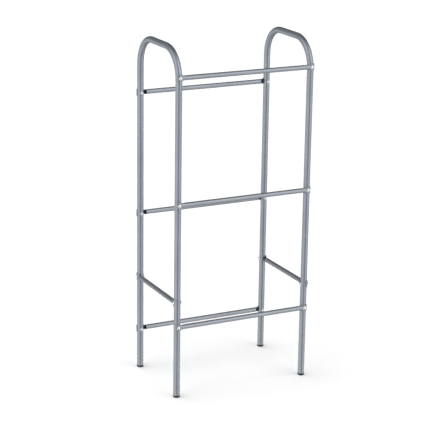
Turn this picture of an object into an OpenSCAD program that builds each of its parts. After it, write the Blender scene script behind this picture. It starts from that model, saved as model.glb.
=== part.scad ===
// Bolted tube rack with three tilted tiers. Two bent hoop frames stand side by side and
// thin rails join them. Each rail end is opened and pressed into a saddle round the leg.
// The origin is on the floor under the middle of the rack. +X is right, -Y is the front.

/* [Frame] */
// Distance between the two hoop frames, tube centre to tube centre
frame_spacing = 478; // [380:1:700]
// Distance between the front and rear leg of a hoop frame, tube centre to tube centre
leg_spacing = 300; // [250:1:420]
// Height of the crown of a hoop over the axis of the top front rail
crown_rise = 98; // [80:1:115]
// How far under the axis of the top front rail a leg starts to bend
bend_drop = 8; // [0:1:10]

/* [Tiers] */
// Height of the bottom tier's rear rail over the floor
bottom_tier_z = 142; // [110:1:180]
// Height from one tier to the next
tier_pitch = 420; // [380:1:460]
// How much higher a tier's front rail is than its rear rail
tier_tilt = 107; // [70:1:130]
// Height of the side rails over the floor
side_rail_z = 335; // [325:1:450]

/* [Tubes] */
// Outer diameter of the leg tube
leg_d = 22; // [20:0.5:25]
// Wall of the leg tube
leg_wall = 1.2; // [1:0.1:2]
// Outer diameter of the rail tube
rail_d = 16; // [14:0.5:18]
// Wall of the rail tube
rail_wall = 1.2; // [1:0.1:1.6]

/* [Saddle ends] */
// Thickness of the flattened saddle plate
saddle_t = 2.2; // [1.6:0.1:3]
// Angle that the saddle wraps round the leg past its bolt
saddle_wrap = 84; // [60:1:88]
// Play between a saddle and its leg
saddle_play = 0.1; // [0.05:0.05:0.3]
// Length of the flat of the saddle beside its bolt
saddle_flat = 3.5; // [3:0.5:5]
// Rounding of the two corners at the far end of the saddle
saddle_corner = 5; // [2:0.5:7]
// Length of the slanting cut where the rail tube is opened
mouth_l = 8; // [5:1:14]

/* [Bolts and nuts] */
// Thread diameter of the bolts
bolt_d = 6; // [5:1:6]
// Play of a bolt in its drilled hole, across the diameter
hole_play = 0.5; // [0.3:0.1:1]
// Diameter of the domed bolt head
head_d = 12; // [10:0.5:13]
// Height of the domed bolt head
head_h = 3.6; // [3:0.1:4.5]
// Height of the straight rim of the bolt head
head_rim = 0.8; // [0.5:0.1:1.2]
// Size of the domed nut across its flats
nut_af = 10; // [9:0.5:11]
// Height of the six-sided part of the nut
nut_h = 3.2; // [3:0.1:4]
// Height of the dome on the nut
nut_dome = 2.6; // [2:0.1:4]
// Depth of the threaded hole in the nut
nut_bore = 4.4; // [4:0.1:4.8]

/* [Feet] */
// Height of the visible foot under the leg tube
foot_h = 7; // [5:0.5:12]
// How far the foot stands out past the leg tube
foot_lip = 0.4; // [0.2:0.1:1]
// Rounding of the foot's bottom edge
foot_round = 2.5; // [1:0.5:4]
// Length of the ribbed stem inside the leg
stem_l = 24; // [18:1:40]
// Wall of the hollow stem
stem_wall = 1.6; // [1.2:0.1:2.5]
// Height of each rib over the stem
rib_out = 0.7; // [0.4:0.1:1]
// Play between the ribs and the inside of the leg
rib_play = 0.1; // [0.05:0.05:0.2]
// Number of ribs on the stem
rib_count = 5; // [3:1:6]

/* [Hidden] */

$fn = 96;
steel_paint = "#8f969f";
bright_steel = "#d9dcdf";
black_plastic = "#2b2e31";
overcut = 0.5;

// Heights of the rails' axes, bottom tier first
rear_z = [for (tier = [0:2]) bottom_tier_z + tier * tier_pitch];
front_z = [for (z = rear_z) z + tier_tilt];

// The bends start beside the top front rail and take up the rest of the height
leg_r = leg_d / 2;
bend_z = front_z[2] - bend_drop;
bend_r = crown_rise + bend_drop - leg_r;
crown_l = leg_spacing - 2 * bend_r;

// How far a leg has bent inwards at a height, which is nothing below the bend
function lean(z) = bend_r - sqrt(pow(bend_r, 2) - pow(max(0, z - bend_z), 2));

// The rail's outer side runs straight on into the outer face of its saddles
rail_r = rail_d / 2;
saddle_r = leg_r + saddle_play;
saddle_face = saddle_r + saddle_t;
rail_offset = saddle_face - rail_r;

// Half of the tube's wall, laid flat, is the height of the saddle plate
saddle_h = PI * (rail_d - rail_wall) / 2;

// The spread wall between tube and plate starts and ends inside their walls, under a thin skin
skin = 0.15;
scoop_r = rail_r - skin;
scoop_h = saddle_h - 2 * skin;
scoop_face = saddle_face - skin;
open_l = leg_r + rail_r / 2;
lap = 2;
lap_l = open_l + mouth_l / 2 + lap;
scoop_steps = 7;
scoop_columns = 12;
plate_steps = 14;
corner_step = 15;

hole_r = (bolt_d + hole_play) / 2;
nut_r = nut_af / 2 / cos(30);
dome_r = (nut_af - head_rim) / 2;
dome_steps = 8;
thread_play = 0.05;
nut_play = 0.05;
tip_play = 0.4;

// Hoop frame: front leg, bend, crown, bend and rear leg, all one tube
module bend_sweep(tube_r) {
    translate([0, crown_l / 2, bend_z])
        rotate([90, 0, 90])
            rotate_extrude(angle = 90)
                translate([bend_r, 0])
                    circle(r = tube_r);
}

module hoop_sweep(tube_r, extra) {
    for (side = [0, 1])
        mirror([0, side, 0]) {
            translate([0, leg_spacing / 2, foot_h - extra])
                cylinder(r = tube_r, h = bend_z - foot_h + extra);
            bend_sweep(tube_r);
        }
    translate([0, crown_l / 2, bend_z + bend_r])
        rotate([90, 0, 0])
            cylinder(r = tube_r, h = crown_l);
}

module leg_holes(y, heights, turn) {
    for (z = heights)
        translate([0, y, z])
            rotate([90, 0, turn])
                cylinder(r = hole_r, h = 1.5 * leg_d, center = true);
}

module hoop_frame(x) {
    color(steel_paint)
        translate([x, 0, 0])
            difference() {
                hoop_sweep(leg_r, 0);
                hoop_sweep(leg_r - leg_wall, overcut);
                leg_holes(-leg_spacing / 2, front_z, 0);
                leg_holes(leg_spacing / 2, rear_z, 0);
                leg_holes(-leg_spacing / 2, [side_rail_z], 90);
                leg_holes(leg_spacing / 2, [side_rail_z], 90);
            }
}

// Saddle end. The leg's axis is at x = 0, the rail lies towards +x and outside is -y.
// At a distance s from the leg's axis the wall is bent to a curve between flat and half round.
function smooth(t) = let (u = max(0, min(1, t))) u * u * (3 - 2 * u);
function roundness(s) = smooth((s - saddle_flat) / (open_l - saddle_flat));
function mix(a, b, t) = a + (b - a) * t;

// One point of the wall: a place along its height, on its outer (0) or inner (1) surface
function wall_point(s, place, inner) =
    let (
        round = roundness(s),
        height = place * scoop_h,
        wall = inner * mix(saddle_t - 2 * skin, rail_wall - 2 * skin, round),
        radius = scoop_r / round,
        angle = height / radius * 180 / PI
    )
    round == 0
        ? [s, wall - scoop_face, height]
        : [s, radius - scoop_face - (radius - wall) * cos(angle), (radius - wall) * sin(angle)];

function wall_ring(s) = concat(
    [for (i = [0:scoop_columns]) wall_point(s, i / scoop_columns - 0.5, 0)],
    [for (i = [scoop_columns:-1:0]) wall_point(s, i / scoop_columns - 0.5, 1)]
);

module spread_wall() {
    stations = concat(
        [saddle_flat / 2],
        [for (i = [0:scoop_steps]) mix(saddle_flat, open_l, i / scoop_steps)],
        [lap_l]
    );
    loop = 2 * (scoop_columns + 1);
    last = (len(stations) - 1) * loop;
    sides = [
        for (i = [0:len(stations) - 2])
            for (j = [0:loop - 1])
                let (a = i * loop + j, b = i * loop + (j + 1) % loop)
                    each [[a, b, b + loop], [a, b + loop, a + loop]]
    ];
    ends = [
        for (j = [0:scoop_columns - 1])
            let (a = j, b = j + 1, c = loop - 2 - j, d = loop - 1 - j)
                each [
                    [c, b, a], [d, c, a],
                    [last + a, last + b, last + c], [last + a, last + c, last + d]
                ]
    ];
    polyhedron(points = [for (s = stations) each wall_ring(s)], faces = concat(sides, ends));
}

// What is taken off to round the plate's far corners, seen along the rail from the leg
module corner_cut() {
    tip = saddle_r * cos(saddle_wrap);
    top = saddle_h / 2;
    arc = [
        for (a = [0:corner_step:90])
            [tip + saddle_corner * (1 - cos(a)), top - saddle_corner * (1 - sin(a))]
    ];
    for (side = [0, 1])
        mirror([0, 0, side])
            rotate([90, 0, -90])
                linear_extrude(height = leg_d)
                    polygon(concat(
                        [[tip + saddle_corner, top + overcut]],
                        [[tip - overcut, top + overcut], [tip - overcut, top - saddle_corner]],
                        arc
                    ));
}

// The plate: flat beside the bolt, and wrapped round the outside of the leg past it
module saddle_plate() {
    turns = [for (i = [0:plate_steps]) -90 - saddle_wrap * i / plate_steps];
    outer = [for (a = turns) saddle_face * [cos(a), sin(a)]];
    inner = [for (i = [plate_steps:-1:0]) saddle_r * [cos(turns[i]), sin(turns[i])]];
    difference() {
        linear_extrude(height = saddle_h, center = true)
            polygon(concat(
                [[saddle_flat, -saddle_r], [saddle_flat, -saddle_face]],
                outer, inner
            ));
        corner_cut();
    }
}

// Everything on the leg's side of the slanting cut through the rail tube
module mouth_cut() {
    slope = [mouth_l, rail_d];
    from = [open_l, -rail_offset - rail_r] - slope / 2;
    to = from + 2 * slope;
    linear_extrude(height = rail_d + 2 * overcut, center = true)
        polygon([from, to, [-leg_d, to[1]], [-leg_d, from[1]]]);
}

module rail_end(span) {
    for (side = [0, 1])
        mirror([side, 0, 0])
            translate([-span / 2, 0, 0])
                children();
}

module rail_tube(span) {
    length = span - 2 * (open_l - lap);
    difference() {
        translate([-length / 2, -rail_offset, 0])
            rotate([0, 90, 0])
                difference() {
                    cylinder(r = rail_r, h = length);
                    translate([0, 0, -overcut])
                        cylinder(r = rail_r - rail_wall, h = length + 2 * overcut);
                }
        rail_end(span)
            mouth_cut();
    }
}

// A rail lies along x, with the axes of its two legs at y = 0 and its outer side towards -y
module rail(span) {
    color(steel_paint)
        difference() {
            union() {
                rail_tube(span);
                rail_end(span) {
                    spread_wall();
                    saddle_plate();
                }
            }
            rail_end(span)
                translate([0, -leg_r, 0])
                    rotate([90, 0, 0])
                        cylinder(r = hole_r, h = 2 * (saddle_t + leg_wall), center = true);
        }
}

// The profile of a part of a sphere over a circle, from its edge to its top
function dome_arc(base_r, height) =
    let (
        ball_r = (base_r * base_r + height * height) / (2 * height),
        edge = asin(base_r / ball_r)
    )
    [
        for (i = [0:dome_steps])
            let (a = edge * (1 - i / dome_steps))
                [ball_r * sin(a), height - ball_r + ball_r * cos(a)]
    ];

// A nut sits on the inner side of its leg, where a bent leg pushes it further in
function nut_seat(z) = leg_r + nut_play + lean(z + nut_r);

// A bolt stands on its tip: the shank, then the rim and the dome of its head
module bolts(span, z) {
    bolt_tip = nut_seat(z) + nut_bore - tip_play;
    shank = saddle_face + bolt_tip;
    rim_top = [0, shank + head_rim];
    color(bright_steel)
        rail_end(span)
            translate([0, bolt_tip, 0])
                rotate([90, 0, 0])
                    rotate_extrude()
                        polygon(concat(
                            [[0, 0], [bolt_d / 2, 0], [bolt_d / 2, shank], [head_d / 2, shank]],
                            [for (p = dome_arc(head_d / 2, head_h - head_rim)) p + rim_top]
                        ));
}

module nuts(span, z) {
    color(bright_steel)
        rail_end(span)
            translate([0, nut_seat(z), 0])
                rotate([-90, 0, 0])
                    difference() {
                        union() {
                            cylinder(r = nut_r, h = nut_h, $fn = 6);
                            translate([0, 0, nut_h])
                                rotate_extrude()
                                    polygon(concat([[0, 0]], dome_arc(dome_r, nut_dome)));
                        }
                        translate([0, 0, -overcut])
                            cylinder(r = bolt_d / 2 + thread_play, h = nut_bore + overcut);
                    }
}

// Places for the three kinds of rail, each with its bolts and nuts
module at_front(tier) {
    translate([0, -leg_spacing / 2, front_z[tier]])
        children();
}

module at_rear(tier) {
    translate([0, leg_spacing / 2, rear_z[tier]])
        rotate([0, 0, 180])
            children();
}

module at_side(side) {
    translate([side * frame_spacing / 2, 0, side_rail_z])
        rotate([0, 0, side * 90])
            children();
}

// Foot plug: a rounded black cap under the leg, with a hollow ribbed stem inside the tube
module foot_plug(x, y) {
    foot_r = leg_r + foot_lip;
    rib_r = leg_r - leg_wall - rib_play;
    stem_r = rib_r - rib_out;
    rib_step = stem_l / (rib_count + 1);
    floor_t = foot_h / 2;
    rounding = [
        for (a = [0:15:90])
            [foot_r - foot_round * (1 - sin(a)), foot_round * (1 - cos(a))]
    ];
    ribs = [
        for (i = [1:rib_count])
            each [
                [stem_r, foot_h + i * rib_step - rib_out],
                [rib_r, foot_h + i * rib_step],
                [stem_r, foot_h + i * rib_step + rib_step / 3]
            ]
    ];
    color(black_plastic)
        translate([x, y, 0])
            rotate_extrude()
                polygon(concat(
                    [[0, 0]], rounding,
                    [[foot_r, foot_h - foot_lip], [leg_r, foot_h], [stem_r, foot_h]],
                    ribs,
                    [
                        [stem_r, foot_h + stem_l],
                        [stem_r - stem_wall, foot_h + stem_l],
                        [stem_r - stem_wall, floor_t],
                        [0, floor_t]
                    ]
                ));
}

// The pieces, one module for each node
module left_hoop_frame() { hoop_frame(-frame_spacing / 2); }
module right_hoop_frame() { hoop_frame(frame_spacing / 2); }
module bottom_front_rail() { at_front(0) rail(frame_spacing); }
module bottom_rear_rail() { at_rear(0) rail(frame_spacing); }
module middle_front_rail() { at_front(1) rail(frame_spacing); }
module middle_rear_rail() { at_rear(1) rail(frame_spacing); }
module top_front_rail() { at_front(2) rail(frame_spacing); }
module top_rear_rail() { at_rear(2) rail(frame_spacing); }
module left_side_rail() { at_side(-1) rail(leg_spacing); }
module right_side_rail() { at_side(1) rail(leg_spacing); }
module bottom_front_bolts() { at_front(0) bolts(frame_spacing, front_z[0]); }
module bottom_rear_bolts() { at_rear(0) bolts(frame_spacing, rear_z[0]); }
module middle_front_bolts() { at_front(1) bolts(frame_spacing, front_z[1]); }
module middle_rear_bolts() { at_rear(1) bolts(frame_spacing, rear_z[1]); }
module top_front_bolts() { at_front(2) bolts(frame_spacing, front_z[2]); }
module top_rear_bolts() { at_rear(2) bolts(frame_spacing, rear_z[2]); }
module left_side_bolts() { at_side(-1) bolts(leg_spacing, side_rail_z); }
module right_side_bolts() { at_side(1) bolts(leg_spacing, side_rail_z); }
module bottom_front_nuts() { at_front(0) nuts(frame_spacing, front_z[0]); }
module bottom_rear_nuts() { at_rear(0) nuts(frame_spacing, rear_z[0]); }
module middle_front_nuts() { at_front(1) nuts(frame_spacing, front_z[1]); }
module middle_rear_nuts() { at_rear(1) nuts(frame_spacing, rear_z[1]); }
module top_front_nuts() { at_front(2) nuts(frame_spacing, front_z[2]); }
module top_rear_nuts() { at_rear(2) nuts(frame_spacing, rear_z[2]); }
module left_side_nuts() { at_side(-1) nuts(leg_spacing, side_rail_z); }
module right_side_nuts() { at_side(1) nuts(leg_spacing, side_rail_z); }
module front_left_foot_plug() { foot_plug(-frame_spacing / 2, -leg_spacing / 2); }
module front_right_foot_plug() { foot_plug(frame_spacing / 2, -leg_spacing / 2); }
module rear_left_foot_plug() { foot_plug(-frame_spacing / 2, leg_spacing / 2); }
module rear_right_foot_plug() { foot_plug(frame_spacing / 2, leg_spacing / 2); }

left_hoop_frame();
right_hoop_frame();
bottom_front_rail();
bottom_rear_rail();
middle_front_rail();
middle_rear_rail();
top_front_rail();
top_rear_rail();
left_side_rail();
right_side_rail();
bottom_front_bolts();
bottom_rear_bolts();
middle_front_bolts();
middle_rear_bolts();
top_front_bolts();
top_rear_bolts();
left_side_bolts();
right_side_bolts();
bottom_front_nuts();
bottom_rear_nuts();
middle_front_nuts();
middle_rear_nuts();
top_front_nuts();
top_rear_nuts();
left_side_nuts();
right_side_nuts();
front_left_foot_plug();
front_right_foot_plug();
rear_left_foot_plug();
rear_right_foot_plug();
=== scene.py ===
# %% [markdown]
# # A drinks crate rack, piece by piece
#
# The rack is two upside-down U frames of bent steel tube. Thin rails join them in three
# tiers. The front rail of a tier sits higher than its rear rail, so the tiers are tilted.
# This notebook loads the measured model first, and then makes each piece again with
# its real edges, fasteners and paint, in the same place.

# %% Load the measured model
from math import acos, asin, cos, pi, radians, sin, sqrt

import bmesh
import bpy
from mathutils import Matrix, Vector


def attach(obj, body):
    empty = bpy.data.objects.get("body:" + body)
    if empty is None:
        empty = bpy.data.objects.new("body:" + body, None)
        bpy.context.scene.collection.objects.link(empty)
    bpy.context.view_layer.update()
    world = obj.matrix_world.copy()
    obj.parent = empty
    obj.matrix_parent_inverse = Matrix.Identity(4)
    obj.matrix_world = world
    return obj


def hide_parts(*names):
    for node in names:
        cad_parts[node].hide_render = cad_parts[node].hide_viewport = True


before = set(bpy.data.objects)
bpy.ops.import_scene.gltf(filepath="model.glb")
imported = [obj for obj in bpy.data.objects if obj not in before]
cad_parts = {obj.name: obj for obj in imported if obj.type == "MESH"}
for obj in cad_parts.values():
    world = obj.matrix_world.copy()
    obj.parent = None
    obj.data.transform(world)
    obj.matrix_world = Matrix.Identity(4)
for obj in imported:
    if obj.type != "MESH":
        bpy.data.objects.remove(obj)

MM = 0.001
scene = bpy.context.scene
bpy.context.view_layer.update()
print("pieces in the measured model:", len(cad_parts))

# %% [markdown]
# ## The camera
#
# The photograph was taken with a long lens from the front left and a little above. A
# camera could be moved by eye until the picture looks right, but a slim rack shows every
# small error. So its angles and distance were worked out from the rails' ends, the feet
# and the two crowns, whose real heights and spacings are known. A long lens keeps upright
# tubes nearly parallel, which is why product photographs use one.

# %% Camera
IMAGE_SIZE, FOCAL_PIXELS = 430, 1608
SENSOR_WIDTH = 36
VIEW_AZIMUTH, VIEW_ELEVATION, VIEW_ROLL = radians(26.70), radians(16.59), radians(0.84)
CAMERA_PLACE = Vector((-2.3769, -4.6688, 2.1273))


def new_object(name, data):
    """Adds an object that holds this data to the scene."""
    made = bpy.data.objects.new(name, data)
    scene.collection.objects.link(made)
    return made


lens = bpy.data.cameras.new("photo_camera")
lens.sensor_width = SENSOR_WIDTH
lens.lens = FOCAL_PIXELS / IMAGE_SIZE * SENSOR_WIDTH
forward = Vector((
    sin(VIEW_AZIMUTH) * cos(VIEW_ELEVATION),
    cos(VIEW_AZIMUTH) * cos(VIEW_ELEVATION),
    -sin(VIEW_ELEVATION),
))
level = forward.cross(Vector((0, 0, 1))).normalized()
steep = level.cross(forward)
across = level * cos(VIEW_ROLL) + steep * sin(VIEW_ROLL)
upward = steep * cos(VIEW_ROLL) - level * sin(VIEW_ROLL)
camera = new_object("photo_camera", lens)
turned = Matrix((across, upward, -forward)).transposed().to_4x4()
camera.matrix_world = Matrix.Translation(CAMERA_PLACE) @ turned
scene.camera = camera
print(f"lens {lens.lens:.1f} mm")

# %% [markdown]
# ## Sizes
#
# A made-up object drifts out of proportion when each piece has numbers of its own. So
# every size is written once, in millimetres, and the pieces are worked out from these.
# Each bend starts a little under the top front rail and takes up the rest of the height.

# %% Sizes
FRAME_SPACING = 478  # from one hoop's tube to the other's, middle to middle
LEG_SPACING = 300  # from a front leg to its rear leg, middle to middle
BOTTOM_TIER = 142  # height of the lowest rear rail
TIER_PITCH = 420  # from one tier up to the next
TIER_TILT = 107  # how much higher the front rail of a tier is
SIDE_RAIL = 335  # height of the rails at the sides
CROWN_RISE = 98  # from the top front rail to the top of the rack
BEND_DROP = 8  # from the top front rail down to where the bends start
LEG_R, LEG_WALL = 11, 1.2  # outer radius and wall of the hoops' tube
RAIL_R, RAIL_WALL = 8, 1.2  # outer radius and wall of the rails' tube
HAIR = 0.001  # too small to see: it keeps rows of points apart and allows for rounding

rear_heights = [BOTTOM_TIER + tier * TIER_PITCH for tier in range(3)]
front_heights = [height + TIER_TILT for height in rear_heights]
BEND_START = front_heights[2] - BEND_DROP
BEND_R = CROWN_RISE + BEND_DROP - LEG_R
print("rear rails at", rear_heights, "mm, front rails at", front_heights, "mm")

# %% [markdown]
# ## Node helpers
#
# Materials and geometry trees are both built from nodes. One helper adds a node, sets
# its options, and either links or sets each of its inputs. The others make what every
# material here needs: a ramp of tones, a blend of two colours, and soft noise.

# %% Node helpers
def add_node(tree, kind, inputs=None, **options):
    """Adds a node. An input takes a socket to link from, or a plain value."""
    made = tree.nodes.new(kind)
    for option, value in options.items():
        setattr(made, option, value)
    for name, source in (inputs or {}).items():
        if isinstance(source, bpy.types.NodeSocket):
            tree.links.new(source, made.inputs[name])
        else:
            made.inputs[name].default_value = source
    return made


def ramp(tree, source, stops, mode="LINEAR"):
    """A colour ramp with these (place, grey or colour) stops."""
    made = add_node(tree, "ShaderNodeValToRGB", {0: source})
    made.color_ramp.interpolation = mode
    made.color_ramp.elements.remove(made.color_ramp.elements[1])
    for at, (place, tone) in enumerate(stops):
        stop = made.color_ramp.elements[0] if at == 0 else made.color_ramp.elements.new(place)
        stop.position = place
        stop.color = (*tone, 1) if isinstance(tone, tuple) else (tone, tone, tone, 1)
    return made.outputs[0]


def mix_colours(tree, share, first, second, blend="MIX"):
    """Blends two colours. The share, from 0 to 1, says how much of the second one counts."""
    # A Mix node has a pair of inputs for each kind of value, and 6 and 7 are the colours
    colours = {0: share, 6: first, 7: second}
    mixed = add_node(tree, "ShaderNodeMix", colours, data_type="RGBA", blend_type=blend)
    return mixed.outputs[2]


def new_material(name):
    """An empty material with its shader, and the coordinates of the object."""
    made = bpy.data.materials.new(name)
    made.use_nodes = True
    made.node_tree.nodes.clear()
    shader = add_node(made.node_tree, "ShaderNodeBsdfPrincipled")
    add_node(made.node_tree, "ShaderNodeOutputMaterial", {0: shader.outputs[0]})
    place = add_node(made.node_tree, "ShaderNodeTexCoord").outputs["Object"]
    return made, made.node_tree, shader, place


def noise(tree, place, scale, detail=2.0, roughness=0.5):
    """Soft random spots, about one over the scale in metres apart."""
    settings = {"Vector": place, "Scale": scale, "Detail": detail, "Roughness": roughness}
    return add_node(tree, "ShaderNodeTexNoise", settings).outputs[0]


print("node helpers ready")

# %% [markdown]
# ## Powder coat
#
# The tubes are powder coated in a satin silver grey. The powder melts into a film with a
# fine orange-peel ripple and holds tiny metal flakes, so it is neither a plain paint nor
# bare metal. A glossy grey plastic would be quicker to set up, but a thin tube shows
# little of its own colour and much of the studio, so a mostly metallic shader under a
# thin clear coat was chosen. The ripple is a shallow bump a couple of millimetres across.
# The tone drifts slightly from place to place, and a little dust greys the film near the
# floor.

# %% Powder coat
DRIFT_SCALE, DRIFT_DARK, DRIFT_LIGHT = 7, 0.93, 1.06
SATIN_SCALE = 38
FLAKE_SCALE, FLAKE_STRENGTH = 1400, 0.6
PEEL_SCALE, GRAIN_SCALE, GRAIN_SHARE, PEEL_DEPTH = 420, 1900, 0.3, 0.00005
DUST_HEIGHT, DUST_STRENGTH, DUST_TONE = 0.12, 0.18, (0.36, 0.35, 0.33, 1)


def powder_coat(name, tone, shift):
    """Satin powder coat in a linear tone. The shift moves its pattern sideways, in metres."""
    made, tree, shader, place = new_material(name)
    moved = add_node(tree, "ShaderNodeMapping", {"Vector": place, "Location": (shift, 0, 0)})
    place = moved.outputs[0]
    drift = noise(tree, place, DRIFT_SCALE, 3)
    darker = tuple(DRIFT_DARK * c for c in tone)
    lighter = tuple(DRIFT_LIGHT * c for c in tone)
    body = ramp(tree, drift, [(0.3, darker), (0.7, lighter)])
    flakes = noise(tree, place, FLAKE_SCALE, 1)
    sparkle = ramp(tree, flakes, [(0.35, 0.94), (0.62, 1.0), (0.72, 1.12)])
    flaked = mix_colours(tree, FLAKE_STRENGTH, body, sparkle, "MULTIPLY")
    height = add_node(tree, "ShaderNodeSeparateXYZ", {0: place}).outputs[2]
    dust = ramp(tree, height, [(0.0, 1.0), (DUST_HEIGHT, 0.0)])
    thin = add_node(tree, "ShaderNodeMath", {0: dust, 1: DUST_STRENGTH}, operation="MULTIPLY")
    dusty = mix_colours(tree, thin.outputs[0], flaked, DUST_TONE)
    tree.links.new(dusty, shader.inputs["Base Color"])
    satin = ramp(tree, noise(tree, place, SATIN_SCALE, 3), [(0.3, 0.25), (0.7, 0.32)])
    tree.links.new(satin, shader.inputs["Roughness"])
    shader.inputs["Metallic"].default_value = 0.8
    shader.inputs["Coat Weight"].default_value = 0.12
    shader.inputs["Coat Roughness"].default_value = 0.22
    peel = noise(tree, place, PEEL_SCALE, 2)
    fine = noise(tree, place, GRAIN_SCALE, 1)
    film = add_node(tree, "ShaderNodeMath", {
        0: fine, 1: GRAIN_SHARE, 2: peel,
    }, operation="MULTIPLY_ADD")
    bump = add_node(tree, "ShaderNodeBump", {
        "Strength": 0.25, "Distance": PEEL_DEPTH, "Height": film.outputs[0],
    })
    tree.links.new(bump.outputs[0], shader.inputs["Normal"])
    return made


frame_coat = powder_coat("frame_powder_coat", (0.305, 0.335, 0.38), 0)
rail_coat = powder_coat("rail_powder_coat", (0.30, 0.322, 0.36), 3)
print("made", frame_coat.name, "and", rail_coat.name)

# %% [markdown]
# ## Plated steel
#
# Bolts and cap nuts are bright zinc-plated steel. A plain mirror would do from far off,
# but plating is never that even. It has a faint cloudy film, and fine scratches from the
# packing bag. So the shader is fully metallic, soft clouds vary its tone and a finer haze
# its roughness, and the scratches are noise that is squeezed along one line.

# %% Plated steel
CLOUD_SCALE, CLOUD_DARK = 240, 0.9
HAZE_SCALE, HAZE_ROUGHNESS = 900, 0.16
SCRATCH_SCALE, SCRATCH_DEPTH = 800, 0.00003
SCRATCH_TURN, SCRATCH_SQUEEZE = (0.3, 0.5, 0.7), (1, 9, 1)


def plated_steel(name, tone, gloss):
    """Bright zinc plate. The gloss is its lowest roughness."""
    made, tree, shader, place = new_material(name)
    clouds = noise(tree, place, CLOUD_SCALE, 3)
    dull = tuple(CLOUD_DARK * c for c in tone)
    tint = ramp(tree, clouds, [(0.32, dull), (0.68, tone)])
    tree.links.new(tint, shader.inputs["Base Color"])
    haze = noise(tree, place, HAZE_SCALE, 3)
    rough = ramp(tree, haze, [(0.3, gloss), (0.75, gloss + HAZE_ROUGHNESS)])
    tree.links.new(rough, shader.inputs["Roughness"])
    shader.inputs["Metallic"].default_value = 1
    squeezed = add_node(tree, "ShaderNodeMapping", {
        "Vector": place, "Rotation": SCRATCH_TURN, "Scale": SCRATCH_SQUEEZE,
    })
    scratches = noise(tree, squeezed.outputs[0], SCRATCH_SCALE, 2)
    bump = add_node(tree, "ShaderNodeBump", {
        "Strength": 0.2, "Distance": SCRATCH_DEPTH, "Height": scratches,
    })
    tree.links.new(bump.outputs[0], shader.inputs["Normal"])
    return made


bolt_plate = plated_steel("bolt_zinc_plate", (0.86, 0.87, 0.88), 0.16)
nut_plate = plated_steel("nut_zinc_plate", (0.80, 0.81, 0.83), 0.2)
print("made", bolt_plate.name, "and", nut_plate.name)

# %% [markdown]
# ## Black plastic
#
# The foot plugs are moulded in black polyethylene. Pure black would look like a hole in
# the picture, so the base is a very dark grey with a soft sheen, and the mould's fine
# grain is a bump. Only the lowest few millimetres are scuffed, where the rack is pushed
# over the floor, so the scuffs are spots that fade out with the height.

# %% Black plastic
SCUFF_HEIGHT, SCUFF_SCALE, SCUFF_TONE = 0.0035, 900, (0.11, 0.11, 0.11, 1)
MOULD_GRAIN_SCALE, MOULD_GRAIN_DEPTH = 3200, 0.00005
MOTTLE_SCALE, SHEEN_SCALE = 60, 500


def black_plastic(name):
    """Moulded black polyethylene with a scuffed foot."""
    made, tree, shader, place = new_material(name)
    mottle = noise(tree, place, MOTTLE_SCALE, 3)
    body = ramp(tree, mottle, [(0.3, (0.008, 0.009, 0.011)), (0.7, (0.015, 0.017, 0.020))])
    height = add_node(tree, "ShaderNodeSeparateXYZ", {0: place}).outputs[2]
    foot_zone = ramp(tree, height, [(0.0, 1.0), (SCUFF_HEIGHT, 0.0)])
    spots = ramp(tree, noise(tree, place, SCUFF_SCALE, 4, 0.7), [(0.5, 0.0), (0.66, 0.75)])
    scuff = add_node(tree, "ShaderNodeMath", {0: foot_zone, 1: spots}, operation="MULTIPLY")
    worn = mix_colours(tree, scuff.outputs[0], body, SCUFF_TONE)
    tree.links.new(worn, shader.inputs["Base Color"])
    sheen = ramp(tree, noise(tree, place, SHEEN_SCALE, 2), [(0.3, 0.42), (0.7, 0.56)])
    tree.links.new(sheen, shader.inputs["Roughness"])
    shader.inputs["Specular IOR Level"].default_value = 0.35
    bump = add_node(tree, "ShaderNodeBump", {
        "Strength": 0.3, "Distance": MOULD_GRAIN_DEPTH,
        "Height": noise(tree, place, MOULD_GRAIN_SCALE, 2),
    })
    tree.links.new(bump.outputs[0], shader.inputs["Normal"])
    return made


foot_black = black_plastic("foot_black_plastic")
print("made", foot_black.name)

# %% [markdown]
# ## Geometry trees
#
# A geometry tree is a recipe with named inputs, so one recipe serves every piece of its
# kind. Each one below ends by turning any copies into real mesh and giving the mesh its
# material. The helper then runs it on an object, keeps the mesh that comes out, and takes
# the recipe off again, because other programs can read a mesh but not a recipe.

# %% Geometry tree helpers
def new_tree(name, inputs):
    """A geometry tree with these named inputs: kind of socket and first value."""
    tree = bpy.data.node_groups.new(name, "GeometryNodeTree")
    tree.is_modifier = True
    panel = tree.interface
    panel.new_socket("Geometry", in_out="INPUT", socket_type="NodeSocketGeometry")
    for label, (kind, value) in inputs.items():
        socket = panel.new_socket(label, in_out="INPUT", socket_type="NodeSocket" + kind)
        if value is not None:
            socket.default_value = value
    panel.new_socket("Geometry", in_out="OUTPUT", socket_type="NodeSocketGeometry")
    return tree, add_node(tree, "NodeGroupInput").outputs


def end_tree(tree, geometry, material):
    """The last three nodes: real mesh, its material, and the way out."""
    real = add_node(tree, "GeometryNodeRealizeInstances", {"Geometry": geometry})
    painted = add_node(tree, "GeometryNodeSetMaterial", {
        "Geometry": real.outputs[0], "Material": material,
    })
    add_node(tree, "NodeGroupOutput", {0: painted.outputs[0]})


def run_tree(name, mesh, tree, values):
    """Runs the tree on a mesh and returns an object that holds the result."""
    holder = new_object(name, mesh)
    modifier = holder.modifiers.new(tree.name, "NODES")
    modifier.node_group = tree
    for item in tree.interface.items_tree:
        if item.in_out == "INPUT" and item.name in values:
            modifier[item.identifier] = values[item.name]
    keep_result(holder)
    return holder


def keep_result(holder):
    """Keeps the mesh that an object's modifiers make, and removes the modifiers."""
    seen = holder.evaluated_get(bpy.context.evaluated_depsgraph_get())
    result = bpy.data.meshes.new_from_object(seen)
    holder.modifiers.clear()
    holder.data = result
    result.name = holder.name


print("tree helpers ready")

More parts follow.
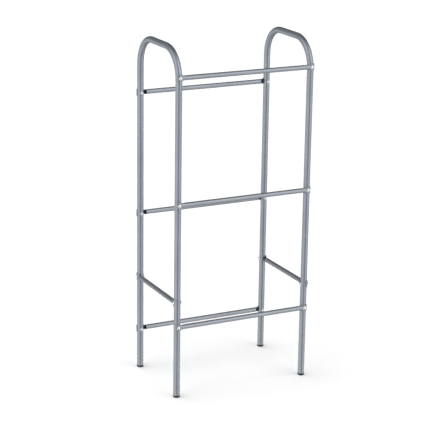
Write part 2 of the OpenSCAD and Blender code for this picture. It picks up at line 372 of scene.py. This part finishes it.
# %% [markdown]
# ## Finishing a piece
#
# A mesh that was swept or joined is cleaned before it counts as a piece. Doubled points
# are merged, faces are turned outwards, and edges sharper than a set angle are kept
# crisp while the rest is shaded smooth. Then the measured piece it stands for is hidden,
# the piece is hung on what it moves with, and it takes its finish. Holes are drilled as in
# the workshop: a round rod stands where the drill goes, and its shape is cut away.

# %% Finishing helpers
CRISP_ANGLE = radians(38)
MERGE_DISTANCE = 0.002
ROD_SIDES = 48


def clean(mesh):
    """Merges doubled points, turns faces outwards, marks crisp edges, counts open ones."""
    work = bmesh.new()
    work.from_mesh(mesh)
    bmesh.ops.remove_doubles(work, verts=work.verts, dist=MERGE_DISTANCE * MM)
    bmesh.ops.recalc_face_normals(work, faces=work.faces)
    for edge in work.edges:
        edge.smooth = len(edge.link_faces) == 2 and edge.calc_face_angle() < CRISP_ANGLE
    for face in work.faces:
        face.smooth = True
    open_edges = sum(len(edge.link_faces) != 2 for edge in work.edges)
    work.to_mesh(mesh)
    work.free()
    mesh.update()
    return open_edges


def drill(holder, cutter_mesh):
    """Cuts the cutter out of the holder's mesh."""
    cutter = new_object(holder.name + "_drill", cutter_mesh)
    cut = holder.modifiers.new("drill", "BOOLEAN")
    cut.operation = "DIFFERENCE"
    cut.solver = "EXACT"
    cut.object = cutter
    keep_result(holder)
    bpy.data.objects.remove(cutter)


def make_piece(holder, node, material):
    """Turns an object into the piece that stands for a measured node."""
    if not holder.data.materials:
        holder.data.materials.append(material)
    open_edges = clean(holder.data)
    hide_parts(node)
    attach(holder, "root")
    print(f"{holder.name}: {len(holder.data.polygons)} faces, {open_edges} open edges")


def rods(name, places, radius, length, axis):
    """Plain rods to drill with, each centred on its place along one axis."""
    work = bmesh.new()
    laid = Matrix.Rotation(pi / 2, 4, "X" if axis == "Y" else "Y")
    for place in places:
        bmesh.ops.create_cone(
            work, cap_ends=True, segments=ROD_SIDES, radius1=radius * MM,
            radius2=radius * MM, depth=length * MM,
            matrix=Matrix.Translation(Vector(place) * MM) @ laid,
        )
    made = bpy.data.meshes.new(name)
    work.to_mesh(made)
    work.free()
    return made


print("finishing helpers ready")

# %% [markdown]
# ## The hoop frames
#
# Each hoop is one length of tube, bent twice. A curve with a round bevel would draw it,
# but a tree keeps the bend and the tube as inputs that can be changed. Its rule is short:
# take a line through four points, round its two corners, and sweep a circle along it. The
# wall is added inwards, as the tube's outer diameter is the size that counts. Then the
# bolt holes are drilled right through.

# %% Hoop recipe
FOOT_H = 7  # from the floor to the end of the tube, which the foot plug fills
HOLE_R = 3.25  # radius of the holes for the 6 mm bolts
DRILL_L = 3 * LEG_R
RING_STEP = 8  # from one ring of faces to the next along the tube

hoop_tree, given = new_tree("bent_tube", {
    "Bend Radius": ("Float", 0.095),
    "Tube Radius": ("Float", 0.011),
    "Ring Step": ("Float", 0.008),
    "Bend Steps": ("Int", 40),
    "Sides": ("Int", 64),
    "Paint": ("Material", None),
})
line = add_node(hoop_tree, "GeometryNodeMeshToCurve", {0: given["Geometry"]})
bent = add_node(hoop_tree, "GeometryNodeFilletCurve", mode="POLY")
hoop_tree.links.new(line.outputs[0], bent.inputs["Curve"])
hoop_tree.links.new(given["Bend Radius"], bent.inputs["Radius"])
hoop_tree.links.new(given["Bend Steps"], bent.inputs["Count"])
rings = add_node(hoop_tree, "GeometryNodeResampleCurve", mode="LENGTH")
hoop_tree.links.new(bent.outputs[0], rings.inputs["Curve"])
hoop_tree.links.new(given["Ring Step"], rings.inputs["Length"])
ring = add_node(hoop_tree, "GeometryNodeCurvePrimitiveCircle", {
    "Resolution": given["Sides"], "Radius": given["Tube Radius"],
})
swept = add_node(hoop_tree, "GeometryNodeCurveToMesh", {
    "Curve": rings.outputs[0], "Profile Curve": ring.outputs[0],
})
end_tree(hoop_tree, swept.outputs[0], given["Paint"])
print("bent tube recipe:", len(hoop_tree.nodes), "nodes")


# %% Hoop frames
def make_hoop(side, x):
    """One hoop frame at this distance to the right of the middle."""
    half, crown = LEG_SPACING / 2, BEND_START + BEND_R
    route = [(x, -half, FOOT_H), (x, -half, crown), (x, half, crown), (x, half, FOOT_H)]
    path = bpy.data.meshes.new(side + "_hoop_path")
    path.from_pydata([Vector(point) * MM for point in route], [(0, 1), (1, 2), (2, 3)], [])
    hoop = run_tree(side + "_hoop_tube", path, hoop_tree, {
        "Bend Radius": BEND_R * MM, "Tube Radius": LEG_R * MM,
        "Ring Step": RING_STEP * MM, "Paint": frame_coat,
    })
    clean(hoop.data)
    wall = hoop.modifiers.new("wall", "SOLIDIFY")
    wall.thickness = LEG_WALL * MM
    wall.offset = -1
    keep_result(hoop)
    fronts = [(x, -half, height) for height in front_heights]
    rears = [(x, half, height) for height in rear_heights]
    sides = [(x, y, SIDE_RAIL) for y in (-half, half)]
    drill(hoop, rods("holes_y", fronts + rears, HOLE_R, DRILL_L, "Y"))
    drill(hoop, rods("holes_x", sides, HOLE_R, DRILL_L, "X"))
    make_piece(hoop, side + "_hoop_frame", frame_coat)


make_hoop("left", -FRAME_SPACING / 2)
make_hoop("right", FRAME_SPACING / 2)

# %% [markdown]
# ## The rails and their saddle ends
#
# This is the part that takes the most skill on the real rack. Near each end the thin tube
# is sawn on a slant and opened. Its outer wall is pressed flat into a taller plate, which
# is wrapped round the outside of the leg and bolted through. A tube joined to a bent
# plate would show a seam where the real one flows, because nothing is added there: it is
# all one wall. So the rail is made as that wall, a strip that is curled into a tube in the
# middle and uncurls towards its ends. At each distance from the bolt the strip has a
# width, a thickness and a curl.

# %% The wall's width, thickness and curl
SADDLE_PLAY = 0.1  # between the plate and the leg
SADDLE_R = LEG_R + SADDLE_PLAY
SADDLE_T = 2.2  # thickness of the pressed plate
SADDLE_WRAP = radians(84)  # how far the plate goes round the leg
SADDLE_FLAT = 3.5  # length that stays flat beside the bolt
SADDLE_H = pi * (2 * RAIL_R - RAIL_WALL) / 2  # half of the tube's wall, unrolled
MOUTH_L = 8  # length of the slanting saw cut
CUT_CLEAR = 0.44  # share of the cut past which the strip is wider than the plate
CORNER_R = 5  # rounding of the plate's corners
RIM = 0.3  # how much is taken off the wall's sharp edges
SADDLE_FACE = SADDLE_R + SADDLE_T
OPEN_L = LEG_R + RAIL_R / 2  # from the bolt to where the cut begins
TUBE_L = OPEN_L + MOUTH_L  # from the bolt to where the tube is whole
WRAP_L = SADDLE_FACE * SADDLE_WRAP


def half_width(reach):
    """Half the strip's width at a distance from the bolt, which is less than 0 round the leg."""
    if reach >= TUBE_L:
        return pi * RAIL_R
    slant = max(0, reach - OPEN_L) / MOUTH_L
    corner = max(0, CORNER_R - reach - WRAP_L)
    plate = SADDLE_H / 2 - CORNER_R + sqrt(CORNER_R ** 2 - corner ** 2)
    return max(plate, RAIL_R * acos(1 - 2 * slant))


def wall_point(reach, height, depth):
    """A point of the wall, from its outer face (depth 0) to its inner face (depth 1)."""
    along = min(1, max(0, (reach - SADDLE_FLAT) / (OPEN_L - SADDLE_FLAT)))
    curl = along * along * (3 - 2 * along)
    wall = depth * (SADDLE_T + (RAIL_WALL - SADDLE_T) * curl)
    if reach < 0:
        wrapped, radius = -reach / SADDLE_FACE, SADDLE_FACE - wall
        return (-radius * sin(wrapped), -radius * cos(wrapped), height)
    if curl == 0:
        return (reach, wall - SADDLE_FACE, height)
    radius = RAIL_R / curl
    angle = height / radius
    out = radius - SADDLE_FACE - (radius - wall) * cos(angle)
    return (reach, out, (radius - wall) * sin(angle))


print(f"the plate is {SADDLE_H:.1f} mm high and wraps {WRAP_L:.1f} mm round the leg")

# %% [markdown]
# ## The strip as a mesh
#
# The strip is laid out in rows across it, from the tip of one saddle to the tip of the
# other. Each row is a closed loop: along the outer face, over one rim, back along the
# inner face and over the other rim. Rows stand closer together where the shape turns.
# Where the strip has closed into a tube its two rims meet, so no rim faces are made there
# and the two edges are merged. The second half of the rail is the first, mirrored.

# %% The strip as a mesh
COLUMNS = 36  # faces from one rim of the strip to the other
CORNER_ANGLES = (0, 18, 32, 46, 60, 75, 90)
# Rows from the plate's round corner to the bolt, then flat, then opening, then along the cut
WRAP_ROWS, FLAT_ROWS, SCOOP_ROWS, STRAIGHT_ROWS, ROUND_ROWS = 12, 3, 16, 3, 14


def spread(start, stop, steps):
    """Evenly spaced numbers after the start, up to and with the stop."""
    return [start + (stop - start) * (i + 1) / steps for i in range(steps)]


def end_rows():
    """Distances from the bolt at which the strip gets a row, from its tip to the tube."""
    tip = [CORNER_R * (1 - cos(radians(angle))) - WRAP_L for angle in CORNER_ANGLES]
    tip[0] += HAIR
    plate = spread(tip[-1], 0, WRAP_ROWS) + spread(0, SADDLE_FLAT, FLAT_ROWS)
    scoop = spread(SADDLE_FLAT, OPEN_L, SCOOP_ROWS)
    straight_cut = spread(OPEN_L, OPEN_L + MOUTH_L * CUT_CLEAR, STRAIGHT_ROWS)
    angles = spread(acos(1 - 2 * CUT_CLEAR), pi, ROUND_ROWS)
    round_cut = [OPEN_L + MOUTH_L * (1 - cos(angle)) / 2 for angle in angles]
    return [-WRAP_L] + tip + plate + scoop + straight_cut + round_cut


def row_points(reach, tip):
    """One row: along the outer face, over the rim, back along the inner face, over the rim."""
    closed = reach >= TUBE_L - HAIR
    edge = half_width(reach) - (RIM if tip else 0)
    inset = 0 if closed else RIM
    skin = RIM / SADDLE_T
    near, far = (skin, 1 - skin) if tip else (0, 1)
    heights = [(edge - inset) * (2 * i / COLUMNS - 1) for i in range(COLUMNS + 1)]
    face = [wall_point(reach, height, near) for height in heights]
    back = [wall_point(reach, height, far) for height in reversed(heights)]
    right = [wall_point(reach, edge, depth) for depth in (skin, 1 - skin)]
    left = [wall_point(reach, -edge, depth) for depth in (1 - skin, skin)]
    return face + right + back + left, closed


def rail_mesh(name, span):
    """A whole rail between two legs, which are this far apart."""
    end = [row_points(reach, at == 0) for at, reach in enumerate(end_rows())]
    rows = [[(x - span / 2, y, z) for x, y, z in points] for points, closed in end]
    rows += [[(-x, y, z) for x, y, z in points] for points in reversed(rows)]
    closed = [is_tube for points, is_tube in end]
    closed += closed[::-1]
    loop = len(rows[0])
    faces = []
    for at in range(len(rows) - 1):
        for column in range(loop):
            rim = COLUMNS <= column < COLUMNS + 3 or column >= 2 * COLUMNS + 3
            if not (rim and closed[at] and closed[at + 1]):
                a, b = at * loop + column, at * loop + (column + 1) % loop
                faces.append((a, b, b + loop, a + loop))
    last = (len(rows) - 1) * loop
    faces.append(tuple(range(loop)))
    faces.append(tuple(range(last, last + loop)))
    made = bpy.data.meshes.new(name)
    made.from_pydata([Vector(point) * MM for points in rows for point in points], [], faces)
    return made


print("rows at each rail end:", len(end_rows()))

# %% [markdown]
# ## Placing the rails
#
# All eight rails are the same piece in two lengths. Each is made lying along X with its
# plates in front, gets its two bolt holes there, and is then turned about the upright
# line and moved to its place. One table holds that for every rail, and the bolts and
# nuts are placed from it too, so they can't part from their rail.

# %% Rails
PLATE_DRILL_L = 8  # enough to go through the plate
# Each rail's name: the span between its legs, its turn, and the place of its middle
RAILS = {}
for tier, word in enumerate(("bottom", "middle", "top")):
    RAILS[word + "_front"] = (FRAME_SPACING, 0, (0, -LEG_SPACING / 2, front_heights[tier]))
    RAILS[word + "_rear"] = (FRAME_SPACING, pi, (0, LEG_SPACING / 2, rear_heights[tier]))
RAILS["left_side"] = (LEG_SPACING, -pi / 2, (-FRAME_SPACING / 2, 0, SIDE_RAIL))
RAILS["right_side"] = (LEG_SPACING, pi / 2, (FRAME_SPACING / 2, 0, SIDE_RAIL))

for where, (span, turn, place) in RAILS.items():
    rail = new_object(where + "_rail_tube", rail_mesh(where + "_rail", span))
    rail.data.materials.append(rail_coat)
    clean(rail.data)
    bolt_places = [(x, -SADDLE_R, 0) for x in (-span / 2, span / 2)]
    drill(rail, rods("bolt_holes", bolt_places, HOLE_R, PLATE_DRILL_L, "Y"))
    rail.data.transform(Matrix.Translation(Vector(place) * MM) @ Matrix.Rotation(turn, 4, "Z"))
    make_piece(rail, where + "_rail", rail_coat)

# %% [markdown]
# ## Turned shapes
#
# Bolts and foot plugs are round about one line, so each is an outline turned about that
# line, as on a lathe. Stacked cylinders would need joining and leave hard steps. An
# outline point on the line becomes a single pole, so the shape stays closed. A cap nut is
# turned too, but its outline is cut by six flats.

# %% Turning an outline
def turned_mesh(name, outline, sides=48, reach_at=None):
    """Turns (radius, height) points about the upright line. reach_at may change a radius."""
    points, faces, rings = [], [], []
    for radius, height in outline:
        if radius == 0:
            rings.append([len(points)] * sides)
            points.append((0, 0, height))
            continue
        rings.append(range(len(points), len(points) + sides))
        for i in range(sides):
            angle = 2 * pi * i / sides
            reach = reach_at(radius, height, angle) if reach_at else radius
            points.append((reach * cos(angle), reach * sin(angle), height))
    for low, high in zip(rings, rings[1:]):
        for i in range(sides):
            j = (i + 1) % sides
            face = list(dict.fromkeys((low[i], low[j], high[j], high[i])))
            if len(face) > 2:
                faces.append(face)
    made = bpy.data.meshes.new(name)
    made.from_pydata([Vector(point) * MM for point in points], [], faces)
    return made


def dome(base, height, steps=10):
    """The outline of a round cap from its edge to its top, standing on height 0."""
    ball = (base ** 2 + height ** 2) / (2 * height)
    edge = asin(min(1, base / ball))
    angles = [edge * (1 - i / steps) for i in range(steps)]
    return [(ball * sin(a), height - ball + ball * cos(a)) for a in angles] + [(0, height)]


print("turning helper ready")

# %% [markdown]
# ## Bolts
#
# Each rail end is held by a bolt with a smooth domed head. It goes through the saddle and
# the leg, into a cap nut, and only the nut is turned. One bolt is modelled carefully, and a
# recipe places two copies of it, one at each end of the rail, each turned by its own
# random amount as fitters leave them. The leg leans inwards beside the top front rail, so
# those two bolts are longer.

# %% The bolt
BOLT_D, TIP_CHAMFER = 6, 0.5
HEAD_D, HEAD_H, HEAD_RIM, HEAD_EDGE = 12, 3.6, 0.8, 0.25
NUT_AF, NUT_H, NUT_DOME, NUT_BORE = 10, 3.2, 2.6, 4.4  # AF is across the flats
NUT_PLAY, TIP_PLAY, THREAD_PLAY = 0.05, 0.4, 0.05
NUT_R = NUT_AF / 2 / cos(radians(30))
# Heights that stand for a straight stretch of leg, and for the bend by the top front rail
STRAIGHT, BENT = 0, front_heights[2]


def nut_seat(height):
    """Distance from the leg's axis to the nut, which a bent leg pushes further in."""
    above = max(0, height + NUT_R - BEND_START)
    return LEG_R + NUT_PLAY + BEND_R - sqrt(BEND_R ** 2 - above ** 2)


def bolt_mesh(name, seat):
    """A bolt along the leg's cross line, head towards -Y, for a nut at this seat."""
    tip = seat + NUT_BORE - TIP_PLAY
    shank = SADDLE_FACE + tip
    edge = HEAD_D / 2
    outline = [(0, 0), (BOLT_D / 2 - TIP_CHAMFER, 0), (BOLT_D / 2, TIP_CHAMFER)]
    outline += [(BOLT_D / 2, shank), (edge - HEAD_EDGE, shank), (edge, shank + HEAD_EDGE)]
    outline += [(r, h + shank + HEAD_RIM) for r, h in dome(edge, HEAD_H - HEAD_RIM)]
    made = turned_mesh(name, outline)
    made.transform(Matrix.Translation((0, tip * MM, 0)) @ Matrix.Rotation(pi / 2, 4, "X"))
    return made


def make_bolt(name, seat):
    """The model bolt that the recipe copies. It isn't shown itself."""
    bolt = new_object(name, bolt_mesh(name, seat))
    clean(bolt.data)
    return bolt


bolts = {height: make_bolt(f"model_bolt_{i}", nut_seat(height))
         for i, height in enumerate((STRAIGHT, BENT))}
print("bolt lengths:", [f"{o.dimensions.y / MM:.1f}" for o in bolts.values()])

# %% [markdown]
# ## Cap nuts
#
# The nut sits on the inner side of the leg. Its six flats end in curved chamfers at both
# faces, because a cone cuts a hexagon there. Cutting one solid with the other would leave
# long thin faces. Taking the smaller of the two radii at each angle gives the same curve
# on an even grid. A dome closes the thread.

# %% The nut
NUT_SIDES = 72
NUT_SHOULDER = 0.4  # how far the dome stands in from the flats
CHAMFER_START, CHAMFER_SLOPE = 0.05, 1.7
CHAMFER_LEVELS = (0, 0.12, 0.24, 0.36, 0.5)  # how far in from a face each ring lies


def nut_mesh(name):
    """A cap nut that stands on its bearing face at height 0."""
    flat = NUT_AF / 2

    def six_flats(radius, height, angle):
        if radius <= BOLT_D / 2 + THREAD_PLAY or height > NUT_H:
            return radius
        hexagon = flat / cos((angle + pi / 6) % (pi / 3) - pi / 6)
        cone = flat + CHAMFER_START + CHAMFER_SLOPE * min(height, NUT_H - height)
        return min(hexagon, cone, radius)

    bore = BOLT_D / 2 + THREAD_PLAY
    levels = [*CHAMFER_LEVELS, 1.2, 2.0, *(NUT_H - h for h in reversed(CHAMFER_LEVELS))]
    outline = [(0, NUT_BORE), (bore, NUT_BORE), (bore, 0)]
    outline += [(NUT_R, h) for h in levels]
    cap = dome(flat - NUT_SHOULDER, NUT_DOME)
    outline += [(r, NUT_H + h + HAIR) for r, h in cap]
    return turned_mesh(name, outline, NUT_SIDES, six_flats)


def make_nut(name, seat):
    """The model nut at its seat on the inner side of the leg."""
    nut = new_object(name, nut_mesh(name))
    nut.data.transform(
        Matrix.Translation((0, seat * MM, 0)) @ Matrix.Rotation(-pi / 2, 4, "X")
    )
    clean(nut.data)
    return nut


nuts = {height: make_nut(f"model_nut_{i}", nut_seat(height))
        for i, height in enumerate((STRAIGHT, BENT))}
print("nut faces:", [len(o.data.polygons) for o in nuts.values()])

# %% [markdown]
# ## Placing the pairs
#
# Thirty-two copies placed by hand would be thirty-two chances to be wrong, so a recipe
# does it: two points, a copy on each, a random turn about the bolt's own line, and a last
# move to the rail's place. The seed is fixed, so the same turns come out every time.

# %% Pair recipe
pair_tree, given = new_tree("fastener_pair", {
    "Fastener": ("Object", None),
    "Half Span": ("Float", 0.239),
    "Turn": ("Float", 0.0),
    "Place": ("Vector", (0.0, 0.0, 0.0)),
    "Seed": ("Int", 1),
    "Finish": ("Material", None),
})
minus = add_node(pair_tree, "ShaderNodeMath", {
    0: given["Half Span"], 1: -1.0,
}, operation="MULTIPLY")
start = add_node(pair_tree, "ShaderNodeCombineXYZ", {0: minus.outputs[0]})
stop = add_node(pair_tree, "ShaderNodeCombineXYZ", {0: given["Half Span"]})
ends = add_node(pair_tree, "GeometryNodeMeshLine", {"Count": 2}, mode="END_POINTS")
pair_tree.links.new(start.outputs[0], ends.inputs["Start Location"])
pair_tree.links.new(stop.outputs[0], ends.inputs["Offset"])
# Inputs 2 and 3 of this node are the lowest and the highest number, and output 1 is the draw
spin = add_node(pair_tree, "FunctionNodeRandomValue", {
    "Seed": given["Seed"], 2: 0.0, 3: 2 * pi,
}, data_type="FLOAT")
about = add_node(pair_tree, "ShaderNodeCombineXYZ", {1: spin.outputs[1]})
fastener = add_node(pair_tree, "GeometryNodeObjectInfo", {"Object": given["Fastener"]})
copies = add_node(pair_tree, "GeometryNodeInstanceOnPoints", {
    "Points": ends.outputs[0], "Instance": fastener.outputs["Geometry"],
    "Rotation": about.outputs[0],
})
yaw = add_node(pair_tree, "ShaderNodeCombineXYZ", {2: given["Turn"]})
seated = add_node(pair_tree, "GeometryNodeTransform", {
    "Geometry": copies.outputs[0], "Translation": given["Place"], "Rotation": yaw.outputs[0],
})
end_tree(pair_tree, seated.outputs[0], given["Finish"])
print("pair recipe:", len(pair_tree.nodes), "nodes")


# %% Bolt and nut pairs
def make_pair(name, model, finish, where, seed):
    """Two copies of a model, one at each end of the named rail."""
    span, turn, place = RAILS[where]
    return run_tree(name, bpy.data.meshes.new(name), pair_tree, {
        "Fastener": model, "Half Span": span / 2 * MM, "Turn": float(turn),
        "Place": Vector(place) * MM, "Seed": seed, "Finish": finish,
    })


NUT_SEED = 50
for seed, where in enumerate(RAILS):
    leg = BENT if where == "top_front" else STRAIGHT
    pair = make_pair(where + "_dome_bolts", bolts[leg], bolt_plate, where, seed)
    make_piece(pair, where + "_bolts", bolt_plate)
    pair = make_pair(where + "_cap_nuts", nuts[leg], nut_plate, where, NUT_SEED + seed)
    make_piece(pair, where + "_nuts", nut_plate)
for model in [*bolts.values(), *nuts.values()]:
    bpy.data.objects.remove(model)

# %% [markdown]
# ## Foot plugs
#
# A black plastic plug closes each leg. Only its low rounded cap shows. A hollow stem goes
# up inside the tube, and its ribs grip the wall. They could all be part of the turned
# outline, but then their number would be fixed. So one rib is a ring of its own, and a
# recipe repeats it at even steps up the stem.

# %% Plug shapes
PLUG_SIDES = 64
FOOT_LIP, FOOT_ROUND, FOOT_CHAMFER = 0.4, 2.5, (0.15, 0.1)
HOLLOW_R, HOLLOW_H, HOLLOW_EDGE = 6, 0.3, 0.6  # the shallow hollow in the underside
STEM_L, STEM_WALL, STEM_CHAMFER = 24, 1.6, 0.4
RIB_OUT, RIB_PLAY, RIB_BITE, RIB_COUNT = 0.7, 0.1, 0.2, 5
FOOT_R = LEG_R + FOOT_LIP  # the cap stands out from the tube by its lip
RIB_R = LEG_R - LEG_WALL - RIB_PLAY
STEM_R = RIB_R - RIB_OUT
RIB_STEP = STEM_L / (RIB_COUNT + 1)


def plug_mesh(name):
    """The cap and its hollow stem, without the ribs."""
    top, inner, floor_h = FOOT_H + STEM_L, STEM_R - STEM_WALL, FOOT_H / 2
    outline = [(0, HOLLOW_H), (HOLLOW_R, HOLLOW_H), (HOLLOW_R + HOLLOW_EDGE, 0)]
    for angle in range(0, 91, 9):
        inset = FOOT_ROUND * (1 - sin(radians(angle)))
        rise = FOOT_ROUND * (1 - cos(radians(angle)))
        outline.append((FOOT_R - inset, rise))
    shoulder = (FOOT_R - FOOT_CHAMFER[0], FOOT_H - FOOT_CHAMFER[1])
    outline += [(FOOT_R, FOOT_H - FOOT_LIP), shoulder, (LEG_R, FOOT_H)]
    outline += [(STEM_R, FOOT_H), (STEM_R, top - STEM_CHAMFER), (STEM_R - STEM_CHAMFER, top)]
    outline += [(inner, top), (inner, floor_h), (0, floor_h)]
    return turned_mesh(name, outline, PLUG_SIDES)


def rib_mesh(name):
    """One rib as a closed ring, which bites a little into the stem."""
    inner, crest = STEM_R - RIB_BITE, RIB_STEP / 3
    outline = [(inner, -RIB_OUT), (STEM_R, -RIB_OUT), (RIB_R, 0), (STEM_R, crest)]
    return turned_mesh(name, outline + [(inner, crest), (inner, -RIB_OUT)], PLUG_SIDES)


print(f"cap {2 * FOOT_R:.1f} mm wide, {RIB_COUNT} ribs {RIB_STEP:.1f} mm apart")

# %% Rib recipe
plug_tree, given = new_tree("ribbed_plug", {
    "Rib": ("Object", None),
    "Count": ("Int", 5),
    "First": ("Vector", (0.0, 0.0, 0.0)),
    "Step": ("Vector", (0.0, 0.0, 0.0)),
    "Place": ("Vector", (0.0, 0.0, 0.0)),
    "Finish": ("Material", None),
})
row = add_node(plug_tree, "GeometryNodeMeshLine", {
    "Count": given["Count"], "Start Location": given["First"], "Offset": given["Step"],
}, mode="OFFSET")
shape = add_node(plug_tree, "GeometryNodeObjectInfo", {"Object": given["Rib"]})
ribs = add_node(plug_tree, "GeometryNodeInstanceOnPoints", {
    "Points": row.outputs[0], "Instance": shape.outputs["Geometry"],
})
both = add_node(plug_tree, "GeometryNodeJoinGeometry", {0: ribs.outputs[0]})
plug_tree.links.new(given["Geometry"], both.inputs[0])
seated = add_node(plug_tree, "GeometryNodeTransform", {
    "Geometry": both.outputs[0], "Translation": given["Place"],
})
end_tree(plug_tree, seated.outputs[0], given["Finish"])
print("plug recipe:", len(plug_tree.nodes), "nodes")

# %% Foot plugs
model_rib = new_object("model_rib", rib_mesh("model_rib"))
clean(model_rib.data)
for end, y in (("front", -LEG_SPACING / 2), ("rear", LEG_SPACING / 2)):
    for side, x in (("left", -FRAME_SPACING / 2), ("right", FRAME_SPACING / 2)):
        corner = end + "_" + side
        mesh = plug_mesh(corner + "_foot")
        clean(mesh)
        foot = run_tree(corner + "_foot", mesh, plug_tree, {
            "Rib": model_rib, "Count": RIB_COUNT, "Place": Vector((x, y, 0)) * MM,
            "First": Vector((0, 0, FOOT_H + RIB_STEP)) * MM,
            "Step": Vector((0, 0, RIB_STEP)) * MM, "Finish": foot_black,
        })
        make_piece(foot, corner + "_foot_plug", foot_black)
bpy.data.objects.remove(model_rib)

# %% [markdown]
# ## The floor
#
# The rack stands on a plain white floor that runs out of the picture. A curved backdrop
# would show a faint fold, and one wide flat sheet shows none. It is hidden from
# reflections, because in a white studio its glare would wash out the tubes' undersides.

# %% Floor
FLOOR_HALF, FLOOR_DRIFT_SCALE = 40, 0.4


def matt_white(name):
    """Matt white paint with hardly any drift in its tone."""
    made, tree, shader, place = new_material(name)
    tone = ramp(tree, noise(tree, place, FLOOR_DRIFT_SCALE), [(0.3, 0.90), (0.7, 0.92)])
    tree.links.new(tone, shader.inputs["Base Color"])
    shader.inputs["Roughness"].default_value = 0.9
    shader.inputs["Specular IOR Level"].default_value = 0.2
    return made


floor_mesh = bpy.data.meshes.new("studio_floor")
floor_corners = [
    (x * FLOOR_HALF, y * FLOOR_HALF, 0) for x, y in ((-1, -1), (1, -1), (1, 1), (-1, 1))
]
floor_mesh.from_pydata(floor_corners, [], [(0, 1, 2, 3)])
floor_mesh.materials.append(matt_white("studio_floor_white"))
floor = new_object("studio_floor", floor_mesh)
floor.visible_glossy = False
print("floor", 2 * FLOOR_HALF, "m wide")

# %% [markdown]
# ## The studio's light
#
# A round steel tube mostly shows what surrounds it, so the studio matters more than the
# paint. Lamps placed one by one would each draw one hard streak. So the world is drawn as
# soft bands of light round the rack, one set at floor height for the uprights and one
# above it for the rails and crowns: wide bright ones on both sides of the camera, and
# darker parts between and behind them. The camera itself sees plain white.

# %% Light bands
# Light by compass angle from +Y towards +X, in degrees: at floor height, then above it
LOW_BANDS = [
    (0, 0.66), (26, 0.55), (60, 0.60), (100, 0.90), (135, 1.15), (165, 1.15), (181, 0.45),
    (196, 0.33), (212, 0.62), (230, 1.20), (280, 1.25), (320, 0.90), (360, 0.66),
]
HIGH_BANDS = [
    (0, 0.12), (60, 0.12), (95, 0.50), (125, 1.50), (165, 1.70), (188, 0.60),
    (207, 0.40), (225, 0.70), (245, 1.40), (285, 1.20), (325, 0.34), (360, 0.12),
]
# How much light is left straight up and straight down
ZENITH, UNDERNEATH = 0.35, 0.8
# Heights on a ball of radius 1 between which one part of the studio blends into another
HORIZON, NEAR_TOP, NEAR_BOTTOM = (-0.12, 0.08), (0.75, 1.0), (-0.9, -0.4)
print("light bands:", len(LOW_BANDS), "low and", len(HIGH_BANDS), "high")

# %% World
world = bpy.data.worlds.new("studio")
scene.world = world
world.use_nodes = True
sky = world.node_tree
sky.nodes.clear()
ray = add_node(sky, "ShaderNodeTexCoord").outputs["Generated"]
east, north, height = add_node(sky, "ShaderNodeSeparateXYZ", {0: ray}).outputs


def sky_math(operation, first, second=0.0):
    """One step of arithmetic in the sky's tree."""
    return add_node(sky, "ShaderNodeMath", {0: first, 1: second}, operation=operation).outputs[0]


def by_height(heights, lights):
    """Goes smoothly from the first light to the second between two heights."""
    return add_node(sky, "ShaderNodeMapRange", {
        "Value": height, "From Min": heights[0], "From Max": heights[1],
        "To Min": lights[0], "To Max": lights[1],
    }, interpolation_type="SMOOTHSTEP").outputs[0]


def by_compass(bearing, bands):
    """The light of a set of bands at a bearing, which is a share of a whole turn."""
    return ramp(sky, bearing, [(angle / 360, light) for angle, light in bands], "EASE")


turns = sky_math("MULTIPLY", sky_math("ARCTAN2", east, north), 1 / (2 * pi))
bearing = sky_math("FRACT", sky_math("ADD", turns, 1.0))
# Inputs 2 and 3 of this Mix node are its two plain numbers
banded = add_node(sky, "ShaderNodeMix", {
    0: by_height(HORIZON, (0.0, 1.0)),
    2: by_compass(bearing, LOW_BANDS), 3: by_compass(bearing, HIGH_BANDS),
}, data_type="FLOAT").outputs[0]
dimmed = sky_math(
    "MULTIPLY", by_height(NEAR_BOTTOM, (UNDERNEATH, 1.0)), by_height(NEAR_TOP, (1.0, ZENITH)),
)
glow = sky_math("MULTIPLY", banded, dimmed)
studio = add_node(sky, "ShaderNodeBackground", {"Color": glow, "Strength": 1.0})
white = add_node(sky, "ShaderNodeBackground", {"Color": (1, 1, 1, 1), "Strength": 1.0})
seen = add_node(sky, "ShaderNodeLightPath").outputs["Is Camera Ray"]
shown = add_node(sky, "ShaderNodeMixShader", {
    0: seen, 1: studio.outputs[0], 2: white.outputs[0],
})
add_node(sky, "ShaderNodeOutputWorld", {0: shown.outputs[0]})
print("world tree:", len(sky.nodes), "nodes")

# %% [markdown]
# ## The lamp overhead
#
# The bands alone would leave the floor grey and the feet without a shadow. A small lamp
# would cast hard lines, so this one is as wide as a third of the sky, a little behind
# and to one side. It whitens the floor and gives the faint shadow under the feet. It is
# hidden from reflections, where it would show as a second streak on every tube.

# %% Overhead lamp
LAMP_STRENGTH, LAMP_WIDTH = 1.85, radians(60)
LAMP_TILT = (radians(-14), radians(-10), 0)

lamp = bpy.data.lights.new("overhead_softbox", "SUN")
lamp.energy = LAMP_STRENGTH
lamp.angle = LAMP_WIDTH
softbox = new_object("overhead_softbox", lamp)
softbox.rotation_euler = LAMP_TILT
softbox.visible_glossy = False
print("overhead lamp", LAMP_STRENGTH)

# %% [markdown]
# ## Colour
#
# The plain view transform keeps white as white, as in the photograph.

# %% Finish
scene.view_settings.view_transform = "Standard"
